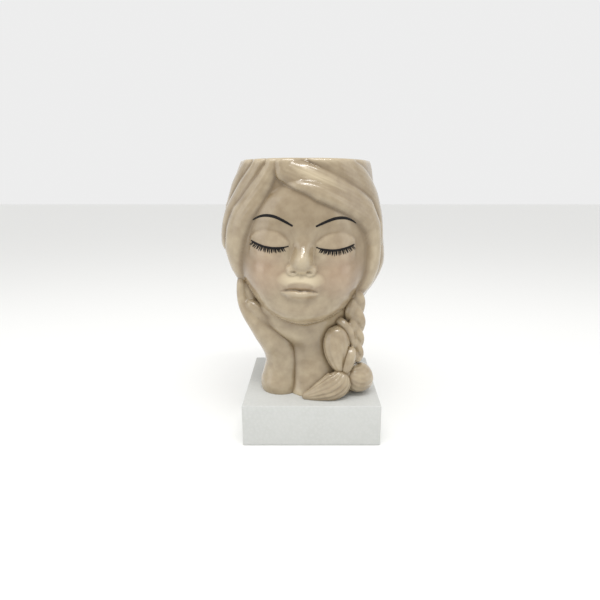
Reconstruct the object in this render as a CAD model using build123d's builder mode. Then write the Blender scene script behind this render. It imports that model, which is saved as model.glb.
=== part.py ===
from build123d import *
import math
import os

os.makedirs("parts", exist_ok=True)

# A glazed head planter on its own square block, in millimetres.
# The origin is the centre of the block's underside. The face looks along -Y,
# and +X is on the right of somebody who faces it.

# Driving sizes of the block
plinth_side = 120.0
plinth_height = 37.0
plinth_edge = 0.8

# Driving sizes of the planter
planter_height = 205.0
hair_width = 144.0
hair_depth = 108.0
head_across = -7.0
face_width = 110.0
face_depth = 45.0
face_fore = -12.0
hairline_softness = 2.5
flare_softness = 1.0
wall = 6.5
floor_thickness = 7.0
rim_round = 1.5
foot_recess = 2.0
foot_margin = 9.0

# Rolls of hair laid over the head
fringe_width = 28.0
fringe_rise = 6.0
side_lock_width = 20.0
side_lock_rise = 4.0
crown_lock_width = 27.0
crown_lock_rise = 3.8
roll_fullness = 1.0

# Face details
nose_width = 19.0
nose_rise = 11.5
socket_width = 48.0
socket_height = 30.0
socket_sink = 2.6
lid_width = 35.0
lid_height = 19.0
lid_rise = 4.2
cheek_width = 44.0
cheek_height = 36.0
cheek_rise = 1.8
muzzle_width = 42.0
muzzle_height = 32.0
muzzle_rise = 3.0
lip_width = 29.0
lip_height = 8.0
lip_rise = 3.2
chin_width = 30.0
chin_height = 20.0
chin_rise = 3.0

# Raised arm and hand
forearm_width = 39.0
forearm_depth = 41.0
palm_thickness = 18.0
palm_width = 42.0
palm_height = 44.0
finger_width = 12.0
finger_thickness = 12.0
finger_length = 40.0
finger_count = 3

# Plait, loose lock, tie, tassel and rolled end
plait_width = 20.0
plait_depth = 16.0
plait_lobe_length = 22.0
plait_lobe_count = 6
plait_tilt = 34.0
plait_lobe_share = 0.58
plait_sway_share = 0.19
lock_width = 24.0
lock_depth = 22.0
lock_height = 41.0
tie_radius = 6.2
tie_length = 6.0
tie_bevel = 1.6
tassel_width = 22.0
tassel_thickness = 18.0
ridge_count = 7
ridge_depth_share = 0.13
ridge_points = 4
curl_width = 25.0
curl_depth = 30.0
curl_height = 29.0

# Drain hole and its rubber stopper
drain_radius = 5.0
stopper_clearance = 0.3
stopper_flange_radius = 9.0
stopper_flange = 2.5
stopper_taper = 0.4
stopper_tab_width = 6.0
stopper_tab_thickness = 2.5
stopper_tab_height = 6.0
stopper_bevel_share = 0.3
overrun = 5.0

# Fineness of the modelled skin
skin_rows = 24
skin_columns = 50
front_crowding_share = 0.55
search_steps = 20

# Level sections of the neck and the hair: height, across, fore, width and depth,
# as shares of the planter's height, the hair's width and its depth
body_shares = (
    (0.000, 0.104, -0.056, 0.500, 0.722),
    (0.063, 0.094, -0.037, 0.465, 0.667),
    (0.137, 0.068, -0.019, 0.440, 0.620),
    (0.210, 0.042, 0.000, 0.431, 0.611),
    (0.283, 0.050, 0.009, 0.485, 0.648),
    (0.337, 0.052, 0.028, 0.556, 0.722),
    (0.395, 0.030, 0.046, 0.667, 0.833),
    (0.463, 0.014, 0.056, 0.833, 0.926),
    (0.551, 0.007, 0.056, 0.958, 0.981),
    (0.649, -0.009, 0.056, 1.000, 1.000),
    (0.746, -0.010, 0.056, 0.979, 1.000),
    (0.834, -0.007, 0.051, 0.917, 0.981),
    (0.917, -0.007, 0.042, 0.854, 0.963),
    (0.971, 0.003, 0.037, 0.806, 0.944),
    (1.000, 0.009, 0.032, 0.771, 0.926),
)

# Level sections of the face, from under the chin to the top of the forehead:
# height as a share of the planter's, width and depth as shares of the face's
face_shares = (
    (0.325, 0.10, 0.45),
    (0.337, 0.22, 0.58),
    (0.356, 0.42, 0.78),
    (0.380, 0.58, 0.90),
    (0.400, 0.69, 0.94),
    (0.429, 0.79, 0.96),
    (0.459, 0.87, 0.98),
    (0.502, 0.95, 1.00),
    (0.551, 0.98, 1.00),
    (0.610, 1.00, 0.98),
    (0.678, 0.99, 0.96),
    (0.746, 0.95, 1.01),
    (0.810, 0.86, 1.01),
    (0.863, 0.69, 0.96),
    (0.902, 0.47, 0.87),
    (0.930, 0.20, 0.70),
)

# The heel of the hand flares out of the neck under the jaw: level sections,
# as shares like those of the neck and the hair
flare_shares = (
    (0.200, 0.028, -0.019, 0.333, 0.537),
    (0.234, 0.007, -0.028, 0.375, 0.574),
    (0.268, -0.035, -0.046, 0.431, 0.583),
    (0.298, -0.069, -0.056, 0.472, 0.583),
    (0.327, -0.097, -0.065, 0.500, 0.574),
    (0.356, -0.118, -0.074, 0.500, 0.556),
    (0.380, -0.132, -0.083, 0.479, 0.546),
    (0.400, -0.139, -0.083, 0.438, 0.509),
    (0.420, -0.125, -0.074, 0.347, 0.407),
)

# Rolls of hair on the front of the head: across and height of each place, then
# the share of the roll's full width and of its full rise there
right_fringe_shares = (
    (-0.110, 1.020, 0.60, 0.40),
    (-0.090, 0.955, 0.72, 0.80),
    (0.000, 0.926, 0.88, 0.95),
    (0.104, 0.893, 1.00, 1.00),
    (0.194, 0.863, 1.00, 1.00),
    (0.278, 0.834, 0.98, 1.00),
    (0.354, 0.795, 0.95, 1.00),
    (0.403, 0.737, 0.80, 0.88),
    (0.424, 0.659, 0.68, 0.80),
    (0.420, 0.561, 0.64, 0.80),
    (0.385, 0.473, 0.58, 0.76),
    (0.344, 0.415, 0.44, 0.60),
)
left_fringe_shares = (
    (-0.165, 1.020, 0.40, 0.55),
    (-0.172, 0.965, 0.46, 0.76),
    (-0.229, 0.902, 0.68, 0.94),
    (-0.288, 0.844, 0.86, 1.03),
    (-0.347, 0.785, 0.93, 1.03),
    (-0.392, 0.717, 0.89, 1.00),
    (-0.414, 0.629, 0.79, 0.86),
    (-0.408, 0.551, 0.68, 0.58),
    (-0.375, 0.490, 0.43, 0.33),
)
side_lock_shares = (
    (-0.240, 1.010, 0.60, 0.60),
    (-0.322, 0.925, 0.90, 1.00),
    (-0.392, 0.862, 1.05, 1.10),
    (-0.440, 0.810, 1.00, 1.00),
    (-0.480, 0.740, 0.75, 0.60),
)
crown_lock_shares = (
    (0.060, 1.020, 0.60, 0.60),
    (0.200, 0.965, 0.80, 0.90),
    (0.330, 0.915, 0.93, 1.00),
    (0.425, 0.855, 0.93, 0.95),
    (0.476, 0.775, 0.80, 0.80),
    (0.490, 0.660, 0.65, 0.50),
)

# The nose from bridge to base: height, then shares of its width and its rise
nose_shares = (
    (0.485, 0.30, 0.00),
    (0.560, 0.60, 0.00),
    (0.572, 0.98, 0.50),
    (0.588, 1.00, 0.86),
    (0.610, 0.92, 1.00),
    (0.640, 0.76, 0.80),
    (0.680, 0.62, 0.50),
    (0.730, 0.60, 0.22),
    (0.775, 0.70, 0.00),
)

# Where the other features are centred: across and height
left_eye_share = (-0.200, 0.692)
right_eye_share = (0.193, 0.680)
left_cheek_share = (-0.200, 0.550)
right_cheek_share = (0.195, 0.545)
muzzle_share = (-0.008, 0.508)
upper_lip_share = (-0.014, 0.514)
lower_lip_share = (-0.018, 0.482)
chin_share = (0.004, 0.385)

# Level sections of the forearm up to the tip of the first finger: height, across,
# fore, width and depth
forearm_shares = (
    (0.000, -0.160, -0.139, 1.000, 1.000),
    (0.063, -0.149, -0.139, 0.846, 0.870),
    (0.137, -0.142, -0.148, 0.744, 0.810),
    (0.190, -0.163, -0.162, 0.708, 0.780),
    (0.239, -0.191, -0.185, 0.687, 0.760),
    (0.283, -0.236, -0.199, 0.646, 0.690),
    (0.322, -0.278, -0.208, 0.544, 0.610),
    (0.359, -0.319, -0.213, 0.431, 0.540),
    (0.395, -0.354, -0.208, 0.359, 0.465),
    (0.434, -0.372, -0.194, 0.308, 0.420),
    (0.478, -0.382, -0.181, 0.262, 0.380),
    (0.517, -0.388, -0.167, 0.195, 0.315),
)

# Single places: across, fore and height
palm_share = (-0.340, -0.037, 0.337)
first_finger_share = (-0.393, -0.079, 0.439)
last_finger_share = (-0.375, 0.139, 0.400)
plait_top_share = (0.302, -0.222, 0.450)
plait_bottom_share = (0.306, -0.255, 0.185)
lock_share = (0.212, -0.225, 0.195)
plait_end_share = (0.296, -0.330, 0.140)
knot_share = (0.262, -0.365, 0.098)
curl_share = (0.355, -0.240, 0.061)

# The tassel from the tie to its tip over the foot of the neck: across, fore and height,
# then the share of its full width and of its full thickness
tassel_shares = (
    (0.188, -0.388, 0.052, 1.00, 1.00),
    (0.118, -0.397, 0.032, 0.88, 0.85),
    (0.055, -0.388, 0.020, 0.52, 0.52),
    (0.018, -0.382, 0.016, 0.20, 0.25),
)
tassel_start_share = (0.42, 0.50)

# Shares of the plait's width and thickness where it leans to the tie
lean_start_share = (0.60, 0.80)
lean_full_share = (0.70, 0.70)
lean_tip_share = (0.45, 0.50)


def place(across, fore, height):
    # A point of the planter from its shares
    return Vector(
        head_across + across * hair_width,
        fore * hair_depth,
        plinth_height + height * planter_height,
    )


def between(table, height):
    # The other columns of a table at any height, on a smooth curve through its rows
    inside = min(max(height, table[0][0]), table[-1][0])
    index = 0
    while index < len(table) - 2 and inside > table[index + 1][0]:
        index += 1
    low = table[index]
    high = table[index + 1]
    before = table[max(index - 1, 0)]
    after = table[min(index + 2, len(table) - 1)]
    step = high[0] - low[0]
    t = (inside - low[0]) / step
    values = []
    for column in range(1, len(low)):
        slope_low = (high[column] - before[column]) / (high[0] - before[0]) * step
        slope_high = (after[column] - low[column]) / (after[0] - low[0]) * step
        value = (2 * t**3 - 3 * t**2 + 1) * low[column] + (t**3 - 2 * t**2 + t) * slope_low
        value += (3 * t**2 - 2 * t**3) * high[column] + (t**3 - t**2) * slope_high
        values.append(value)
    return values


def reach(angle, centre_x, centre_y, half_width, half_depth):
    # How far a level ray from the head's axis goes before it leaves an ellipse
    ray_x = math.sin(angle) / half_width
    ray_y = -math.cos(angle) / half_depth
    start_x = (head_across - centre_x) / half_width
    start_y = -centre_y / half_depth
    a = ray_x**2 + ray_y**2
    b = ray_x * start_x + ray_y * start_y
    c = start_x**2 + start_y**2 - 1
    return (-b + math.sqrt(max(b**2 - a * c, 0))) / a


def section_radius(table, angle, height):
    across, fore, width, depth = between(table, height)
    centre = place(across, fore, height)
    return reach(angle, centre.X, centre.Y, width * hair_width / 2, depth * hair_depth / 2)


def blend(one, other, softness):
    # The larger of two sizes, with a soft change from one to the other
    return (one + other + math.sqrt((one - other) ** 2 + softness**2)) / 2


def plain_radius(angle, height):
    # The neck, the hair and the face as one smooth skin, before any detail
    skin = section_radius(body_shares, angle, height)
    if flare_shares[0][0] < height < flare_shares[-1][0]:
        skin = blend(skin, section_radius(flare_shares, angle, height), flare_softness)
    if not face_shares[0][0] < height < face_shares[-1][0] or math.cos(angle) < 0:
        return skin
    width, depth = between(face_shares, height)
    face = reach(angle, head_across, face_fore, width * face_width / 2, depth * face_depth)
    return blend(skin, face, hairline_softness)


def skin_point(angle, height, radius):
    return Vector(
        head_across + radius * math.sin(angle),
        -radius * math.cos(angle),
        plinth_height + height * planter_height,
    )


def front_point(across, height):
    # The place on the front of the plain skin that lies this far across
    low = -math.pi / 2
    high = math.pi / 2
    for _ in range(search_steps):
        angle = (low + high) / 2
        radius = plain_radius(angle, min(height, 1.0))
        if radius * math.sin(angle) < across * hair_width:
            low = angle
        else:
            high = angle
    return skin_point(angle, height, radius)


def roll_path(shares):
    return [(front_point(across, height), width, rise) for across, height, width, rise in shares]


def roll(point, path, width, rise):
    # The rise of a rounded roll of hair that follows a path over the skin
    best = 0.0
    for (start, width_a, rise_a), (end, width_b, rise_b) in zip(path, path[1:]):
        run = end - start
        t = min(max((point - start).dot(run) / run.dot(run), 0), 1)
        half_width = (width_a + (width_b - width_a) * t) * width / 2
        away = (point - start - run * t).length / half_width
        if away < 1:
            swell = (rise_a + (rise_b - rise_a) * t) * rise * (1 - away**2) ** roll_fullness
            best = max(best, swell)
    return best


def swell(point, share, width, height, rise):
    # A smooth oval swelling, or with a negative rise a hollow
    across = (point.X - head_across - share[0] * hair_width) / (width / 2)
    up = (point.Z - plinth_height - share[1] * planter_height) / (height / 2)
    away = across**2 + up**2
    return rise * (1 - away) ** 2 if away < 1 else 0.0


def nose(point, height):
    width, rise = between(nose_shares, height)
    across = (point.X - head_across) / (width * nose_width / 2)
    return rise * nose_rise * (1 - across**2) ** 2 if abs(across) < 1 else 0.0


right_fringe = roll_path(right_fringe_shares)
left_fringe = roll_path(left_fringe_shares)
side_lock = roll_path(side_lock_shares)
crown_lock = roll_path(crown_lock_shares)


def modelled_radius(angle, height):
    # The plain skin with the hair's rolls and the features of the face
    radius = plain_radius(angle, height)
    if height == 1.0:
        radius -= rim_round
    if math.cos(angle) < 0:
        return radius
    point = skin_point(angle, height, radius)
    fringe = max(
        roll(point, right_fringe, fringe_width, fringe_rise),
        roll(point, left_fringe, fringe_width, fringe_rise),
        roll(point, side_lock, side_lock_width, side_lock_rise),
        roll(point, crown_lock, crown_lock_width, crown_lock_rise),
    )
    features = nose(point, height)
    for eye in (left_eye_share, right_eye_share):
        features += swell(point, eye, socket_width, socket_height, -socket_sink)
        features += swell(point, eye, lid_width, lid_height, lid_rise)
    for cheek in (left_cheek_share, right_cheek_share):
        features += swell(point, cheek, cheek_width, cheek_height, cheek_rise)
    features += swell(point, muzzle_share, muzzle_width, muzzle_height, muzzle_rise)
    for lip in (upper_lip_share, lower_lip_share):
        features += swell(point, lip, lip_width, lip_height, lip_rise)
    features += swell(point, chin_share, chin_width, chin_height, chin_rise)
    return radius + fringe + features


def row_heights():
    # Even rows from foot to rim, with one more between each pair over the face
    heights = []
    for row in range(skin_rows):
        heights.append(row / skin_rows)
        if face_shares[0][0] < row / skin_rows < nose_shares[-1][0]:
            heights.append((row + 0.5) / skin_rows)
    return heights + [1.0 - rim_round / planter_height, 1.0]


def level_loft(sections):
    # A body through level ellipses: centre point, half width, half depth
    with BuildPart() as form:
        for centre, half_width, half_depth in sections:
            with BuildSketch(Plane(centre)):
                Ellipse(half_width, half_depth)
        loft()
    return form.part


def outward(point):
    # The level direction from the head's upright axis to a point
    return Vector(point.X - head_across, point.Y, 0).normalized()


def strand(stations, width, thickness):
    # A rounded band: stations hold a point and shares of the width and thickness
    points = [station[0] for station in stations]
    last = len(points) - 1
    with BuildPart() as form:
        for index, (point, width_share, thickness_share) in enumerate(stations):
            along = (points[min(index + 1, last)] - points[max(index - 1, 0)]).normalized()
            across = outward(point).cross(along).normalized()
            with BuildSketch(Plane(point, x_dir=across, z_dir=along)):
                Ellipse(width_share * width / 2, thickness_share * thickness / 2)
        loft()
    return form.part


def egg(centre, width, depth, height, tilt=0.0):
    # An egg of the given full sizes, tilted about Y
    with BuildPart() as form:
        Sphere(1)
        scale(by=(width / 2, depth / 2, height / 2))
    return Location(centre, (0, tilt, 0)) * form.part


def grooved_strand(stations, width, thickness):
    # The same band with rounded ridges along it, like combed hair
    points = [station[0] for station in stations]
    last = len(points) - 1
    with BuildPart() as form:
        for index, (point, width_share, thickness_share) in enumerate(stations):
            along = (points[min(index + 1, last)] - points[max(index - 1, 0)]).normalized()
            across = outward(point).cross(along).normalized()
            outline = []
            for step in range(ridge_count * ridge_points):
                turn = 2 * math.pi * step / (ridge_count * ridge_points)
                size = 1 - ridge_depth_share * (1 - abs(math.cos(ridge_count * turn / 2)))
                wide = size * math.sin(turn) * width_share * width / 2
                thick = size * math.cos(turn) * thickness_share * thickness / 2
                outline.append((wide, thick))
            with BuildSketch(Plane(point, x_dir=across, z_dir=along)):
                with BuildLine():
                    Spline(*outline, periodic=True)
                make_face()
        loft()
    return form.part


rim_height = plinth_height + planter_height
everywhere = 4 * planter_height
below_foot = Pos(0, 0, plinth_height - everywhere / 2) * Box(everywhere, everywhere, everywhere)

# The head's outside, skinned through level outlines
with BuildPart() as head_form:
    for height in row_heights():
        outline = []
        for column in range(skin_columns):
            turn = 2 * math.pi * column / skin_columns
            angle = turn - front_crowding_share * math.sin(turn)
            outline.append(skin_point(angle, height, modelled_radius(angle, height)))
        with BuildSketch(Plane.XY.offset(plinth_height + height * planter_height)):
            with BuildLine():
                Spline(*[(point.X, point.Y) for point in outline], periodic=True)
            make_face()
    loft()
head_outside = head_form.part

# The hollow follows the neck and the hair, one wall inside them
hollow_sections = []
for height, across, fore, width, depth in body_shares:
    centre = place(across, fore, max(height, floor_thickness / planter_height))
    half_width = width * hair_width / 2 - wall
    half_depth = depth * hair_depth / 2 - wall
    hollow_sections.append((centre, half_width, half_depth))
centre, half_width, half_depth = hollow_sections.pop()
below_rim = centre - Vector(0, 0, rim_round)
hollow_sections.append((below_rim, half_width, half_depth))
for above in (0, overrun):
    flared = centre + Vector(0, 0, above)
    hollow_sections.append((flared, half_width + rim_round, half_depth + rim_round))
hollow = level_loft(hollow_sections)

drain_centre = place(*body_shares[0][1:3], 0)
foot_half_width = body_shares[0][3] * hair_width / 2 - foot_margin
foot_half_depth = body_shares[0][4] * hair_depth / 2 - foot_margin

with BuildPart() as head_shell:
    add(head_outside)
    add(hollow, mode=Mode.SUBTRACT)
    with BuildSketch(Plane(drain_centre)):
        Ellipse(foot_half_width, foot_half_depth)
    extrude(amount=foot_recess, mode=Mode.SUBTRACT)
    with Locations(drain_centre):
        Cylinder(drain_radius, 2 * (floor_thickness + overrun), mode=Mode.SUBTRACT)
head_shell.part.label = "head_shell"
export_step(head_shell.part, "parts/head_shell.step")

# Raised forearm and first finger, the palm, and the other fingers behind the cheek
forearm = level_loft(
    [
        (place(across, fore, height), width * forearm_width / 2, depth * forearm_depth / 2)
        for height, across, fore, width, depth in forearm_shares
    ]
)
palm = egg(place(*palm_share), palm_thickness, palm_width, palm_height)
first_finger = place(*first_finger_share)
last_finger = place(*last_finger_share)

with BuildPart() as forearm_and_hand:
    add(forearm)
    add(palm)
    for finger in range(finger_count):
        middle = first_finger + (last_finger - first_finger) * (finger / (finger_count - 1))
        add(egg(middle, finger_thickness, finger_width, finger_length))
    add(head_outside, mode=Mode.SUBTRACT)
forearm_and_hand.part.label = "forearm_and_hand"
export_step(forearm_and_hand.part, "parts/forearm_and_hand.step")

# Loose lock of hair that lies on the neck beside the plait
loose_lock = egg(place(*lock_share), lock_width, lock_depth, lock_height)
with BuildPart() as hair_lock:
    add(loose_lock)
    add(head_outside, mode=Mode.SUBTRACT)
hair_lock.part.label = "hair_lock"
export_step(hair_lock.part, "parts/hair_lock.step")

# Plait: crossed lobes down both sides, then one that leans to the tie
plait_top = place(*plait_top_share)
plait_bottom = place(*plait_bottom_share)
plait_end = place(*plait_end_share)
knot = place(*knot_share)
tie_axis = (plait_end - knot).normalized()
tie_top = knot + tie_axis * (tie_length / 2)
tie_bottom = knot - tie_axis * (tie_length / 2)
lean_stations = [
    (plait_bottom, *lean_start_share),
    (plait_end, *lean_full_share),
    (tie_top, *lean_tip_share),
]
with BuildPart() as braid:
    for lobe in range(plait_lobe_count):
        side = 1 if lobe % 2 else -1
        middle = plait_top + (plait_bottom - plait_top) * (lobe / (plait_lobe_count - 1))
        middle += Vector(side * plait_width * plait_sway_share, 0, 0)
        lobe_width = plait_width * plait_lobe_share
        add(egg(middle, lobe_width, plait_depth, plait_lobe_length, tilt=side * plait_tilt))
    add(strand(lean_stations, plait_width, plait_depth))
    add(head_outside, mode=Mode.SUBTRACT)
    add(loose_lock, mode=Mode.SUBTRACT)
braid.part.label = "braid"
export_step(braid.part, "parts/braid.step")

# Tie: a band between the end of the plait and the tassel
with BuildPart() as braid_tie:
    with BuildSketch(Plane(tie_bottom, z_dir=tie_axis)):
        Circle(tie_radius)
    extrude(amount=tie_length)
    chamfer(braid_tie.edges(), tie_bevel)
    add(head_outside, mode=Mode.SUBTRACT)
braid_tie.part.label = "braid_tie"
export_step(braid_tie.part, "parts/braid_tie.step")

# Tassel: combed hair that swells from the tie and tapers over the foot of the neck
tassel_stations = [(tie_bottom, *tassel_start_share)]
tassel_stations += [(place(*row[:3]), row[3], row[4]) for row in tassel_shares]
with BuildPart() as braid_tassel:
    add(grooved_strand(tassel_stations, tassel_width, tassel_thickness))
    add(head_outside, mode=Mode.SUBTRACT)
    add(braid_tie.part, mode=Mode.SUBTRACT)
    add(below_foot, mode=Mode.SUBTRACT)
braid_tassel.part.label = "braid_tassel"
export_step(braid_tassel.part, "parts/braid_tassel.step")

# Rolled end of hair that stands on the block beside the tassel
with BuildPart() as hair_curl:
    add(egg(place(*curl_share), curl_width, curl_depth, curl_height))
    add(below_foot, mode=Mode.SUBTRACT)
    for neighbour in (head_outside, loose_lock, braid.part, braid_tie.part, braid_tassel.part):
        add(neighbour, mode=Mode.SUBTRACT)
hair_curl.part.label = "hair_curl"
export_step(hair_curl.part, "parts/hair_curl.step")

# Rubber stopper: a flange on the pot's floor, a plug in the drain hole and a tab to pull
floor_centre = drain_centre + Vector(0, 0, floor_thickness)
plug_radius = drain_radius - stopper_clearance
plug_length = floor_thickness - foot_recess
with BuildPart() as drain_stopper:
    with BuildSketch(Plane(floor_centre)):
        Circle(stopper_flange_radius)
    extrude(amount=stopper_flange)
    chamfer(drain_stopper.edges().group_by(Axis.Z)[-1], stopper_flange * stopper_bevel_share)
    with BuildSketch(Plane(floor_centre)):
        Circle(plug_radius)
    with BuildSketch(Plane(floor_centre - Vector(0, 0, plug_length))):
        Circle(plug_radius - stopper_taper)
    loft()
    tab_centre = floor_centre + Vector(0, 0, stopper_flange)
    with BuildSketch(Plane(tab_centre)):
        Rectangle(stopper_tab_width, stopper_tab_thickness)
    extrude(amount=stopper_tab_height)
drain_stopper.part.label = "drain_stopper"
export_step(drain_stopper.part, "parts/drain_stopper.step")

# Square block that the planter stands on
with BuildPart() as plinth_block:
    with BuildSketch():
        Rectangle(plinth_side, plinth_side)
    extrude(amount=plinth_height)
    chamfer(plinth_block.edges(), plinth_edge)
plinth_block.part.label = "plinth_block"
export_step(plinth_block.part, "parts/plinth_block.step")
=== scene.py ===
import math

import bmesh
import bpy
import numpy as np
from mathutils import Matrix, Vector
from mathutils.bvhtree import BVHTree


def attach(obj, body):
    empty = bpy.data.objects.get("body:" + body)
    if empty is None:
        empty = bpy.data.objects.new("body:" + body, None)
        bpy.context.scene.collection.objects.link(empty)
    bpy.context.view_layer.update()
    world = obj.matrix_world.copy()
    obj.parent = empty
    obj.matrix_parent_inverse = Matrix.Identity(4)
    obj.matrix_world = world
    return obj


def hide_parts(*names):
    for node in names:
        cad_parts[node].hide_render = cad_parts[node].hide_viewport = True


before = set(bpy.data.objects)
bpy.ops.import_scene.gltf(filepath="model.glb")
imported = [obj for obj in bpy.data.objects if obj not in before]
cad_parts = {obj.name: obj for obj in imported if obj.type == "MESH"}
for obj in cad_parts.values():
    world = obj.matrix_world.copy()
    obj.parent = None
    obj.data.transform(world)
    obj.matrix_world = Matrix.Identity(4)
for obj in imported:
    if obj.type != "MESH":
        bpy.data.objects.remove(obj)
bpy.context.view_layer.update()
print("stage 1: frame loaded")

metre = 0.001  # sizes are in millimetres down to the lights, and each mesh is scaled by this at its end


# Small tools shared by the pieces

def ease(t):
    t = np.clip(t, 0.0, 1.0)
    return t * t * (3 - 2 * t)


def smoothRows(rows, at):
    # columns of a table at any value of its first column, on a smooth curve
    rows = np.array(rows, float)
    keys = rows[:, 0]
    inside = np.clip(at, keys[0], keys[-1])
    low = np.clip(np.searchsorted(keys, inside, side="right") - 1, 0, len(keys) - 2)
    step = (keys[low + 1] - keys[low])[:, None]
    t = (inside - keys[low])[:, None] / step
    slopes = np.gradient(rows[:, 1:], keys, axis=0)
    start, end = rows[low, 1:], rows[low + 1, 1:]
    value = (2 * t**3 - 3 * t**2 + 1) * start + (t**3 - 2 * t**2 + t) * slopes[low] * step
    value += (3 * t**2 - 2 * t**3) * end + (t**3 - t**2) * slopes[low + 1] * step
    return value.T


def spunGrid(rows, steps, closed=False):
    # a profile of plain rows, spun once round: moveVerts later shapes it by each vertex's row and angle
    bm = bmesh.new()
    ring = []
    for row in range(rows):
        atPole = not closed and row in (0, rows - 1)
        ring.append(bm.verts.new((0.0 if atPole else 1.0, 0.0, float(row))))
    edges = [bm.edges.new(pair) for pair in zip(ring, ring[1:])]
    if closed:
        edges.append(bm.edges.new((ring[-1], ring[0])))
    bmesh.ops.spin(bm, geom=ring + edges, cent=(0, 0, 0), axis=(0, 0, 1), dvec=(0, 0, 0),
                   angle=2 * math.pi, steps=steps, use_merge=True, use_duplicate=False)
    bmesh.ops.remove_doubles(bm, verts=bm.verts, dist=0.001)
    bm.verts.ensure_lookup_table()
    plain = np.array([v.co[:] for v in bm.verts])
    return bm, np.rint(plain[:, 2]), np.arctan2(plain[:, 0], -plain[:, 1])


def moveVerts(bm, points):
    for vertex, point in zip(bm.verts, points):
        vertex.co = point


def addPiece(name, bm, material, body, replaced=()):
    # turns a bmesh in millimetres into a piece that rides on a body
    bmesh.ops.scale(bm, vec=(metre, metre, metre), verts=bm.verts)
    bmesh.ops.recalc_face_normals(bm, faces=bm.faces)
    mesh = bpy.data.meshes.new(name)
    bm.to_mesh(mesh)
    bm.free()
    for polygon in mesh.polygons:
        polygon.use_smooth = True
    mesh.materials.append(material)
    piece = bpy.data.objects.new(name, mesh)
    bpy.context.scene.collection.objects.link(piece)
    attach(piece, body)
    if replaced:
        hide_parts(*replaced)
    return piece


def joinForms(forms):
    whole = bmesh.new()
    for form in forms:
        part = bpy.data.meshes.new("part")
        form.to_mesh(part)
        form.free()
        whole.from_mesh(part)
        bpy.data.meshes.remove(part)
    return whole


def fuseForms(forms, voxel, smoothing):
    # joins rough forms under one even skin and softens where they meet, as slip does
    for form in forms:
        bmesh.ops.recalc_face_normals(form, faces=form.faces)
    whole = joinForms(forms)
    joined = bpy.data.meshes.new("roughForms")
    whole.to_mesh(joined)
    whole.free()
    rough = bpy.data.objects.new("roughForms", joined)
    bpy.context.scene.collection.objects.link(rough)
    skin = rough.modifiers.new("evenSkin", "REMESH")
    skin.mode = "VOXEL"
    skin.voxel_size = voxel
    graph = bpy.context.evaluated_depsgraph_get()
    even = bpy.data.meshes.new_from_object(rough.evaluated_get(graph))
    fused = bmesh.new()
    fused.from_mesh(even)
    for _ in range(smoothing):
        bmesh.ops.smooth_vert(fused, verts=fused.verts, factor=0.5,
                              use_axis_x=True, use_axis_y=True, use_axis_z=True)
    bpy.data.objects.remove(rough)
    bpy.data.meshes.remove(joined)
    bpy.data.meshes.remove(even)
    return fused


def readPoints(mesh, kind):
    values = np.empty(len(mesh.vertices) * 3)
    mesh.vertices.foreach_get(kind, values)
    return values.reshape(-1, 3)


def writeLayer(mesh, name, values):
    layer = mesh.attributes.get(name) or mesh.attributes.new(name, "FLOAT", "POINT")
    layer.data.foreach_set("value", np.asarray(values, np.float32))


def readLayer(mesh, name):
    values = np.empty(len(mesh.vertices))
    mesh.attributes[name].data.foreach_get("value", values)
    return values


def hollowness(mesh, rounds):
    # how far each vertex lies below the evened-out surface: hollows are positive, ridges negative
    co = readPoints(mesh, "co") / metre
    ends = np.empty(len(mesh.edges) * 2, int)
    mesh.edges.foreach_get("vertices", ends)
    ends = ends.reshape(-1, 2)
    links = np.maximum(np.bincount(ends.ravel(), minlength=len(co)), 1)

    def nearMean(values):
        total = np.bincount(ends[:, 0], values[ends[:, 1]], len(co))
        total += np.bincount(ends[:, 1], values[ends[:, 0]], len(co))
        return total / links

    wide = list(co.T)
    for _ in range(rounds):
        wide = [(column + nearMean(column)) / 2 for column in wide]
    hollow = ((np.stack(wide, axis=1) - co) * readPoints(mesh, "normal")).sum(axis=1)
    for _ in range(3):
        hollow = (hollow + nearMean(hollow)) / 2
    return hollow


# How glaze gathers, and the shade painted with it in hollows and creases: rounds of evening out, strengths,
# and the reach in mm of a crease between two forms
poolingAndShade = {
    "rounds": 8, "onHead": 1.5, "onForms": 1.2, "broadRounds": 50,
    "creaseReach": 3.5, "creaseStrength": 0.9, "creaseFall": 1.5,
}


def markPoolsAndShade(piece, strength):
    # glaze runs out of the ridges and pools darker in the hollows; this layer also holds painted shade in the
    # hollows and a painted highlight on the ridges
    writeLayer(piece.data, "poolAndShade", np.clip(hollowness(piece.data, poolingAndShade["rounds"]) * strength, -1, 1))


def markCreasePoolsAndShade(pieces):
    # glaze also pools where one clay form meets another, and painted shade darkens these creases too
    near = poolingAndShade["creaseReach"]
    trees = {piece: BVHTree.FromPolygons([v.co / metre for v in piece.data.vertices],
                                         [p.vertices for p in piece.data.polygons]) for piece in pieces}
    for piece in pieces:
        mesh = piece.data
        co = readPoints(mesh, "co") / metre
        closeness = np.zeros(len(co))
        for other in pieces:
            if other is piece:
                continue
            box = readPoints(other.data, "co") / metre
            inBox = ((co > box.min(axis=0) - near) & (co < box.max(axis=0) + near)).all(axis=1)
            for index in np.nonzero(inBox)[0]:
                gap = trees[other].find_nearest(co[index], near)[3]
                if gap is not None:
                    closeness[index] = max(closeness[index], 1 - gap / near)
        deeper = poolingAndShade["creaseStrength"] * closeness ** poolingAndShade["creaseFall"]
        writeLayer(mesh, "poolAndShade", np.clip(readLayer(mesh, "poolAndShade") + deeper, -1, 1))


# Materials

def toLinear(hexColour):
    # sRGB hex to the linear colour that shader sockets take
    channels = [int(hexColour[i:i + 2], 16) / 255 for i in (1, 3, 5)]
    return [c / 12.92 if c <= 0.04045 else ((c + 0.055) / 1.055) ** 2.4 for c in channels] + [1.0]


def addNode(tree, kind, settings=None, links=None):
    # one node: settings are properties or socket values, links are socket to output
    node = tree.nodes.new(kind)
    for key, value in (settings or {}).items():
        if isinstance(key, str) and hasattr(node, key):
            setattr(node, key, value)
        else:
            node.inputs[key].default_value = value
    for key, output in (links or {}).items():
        tree.links.new(output, node.inputs[key])
    return node


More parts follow.
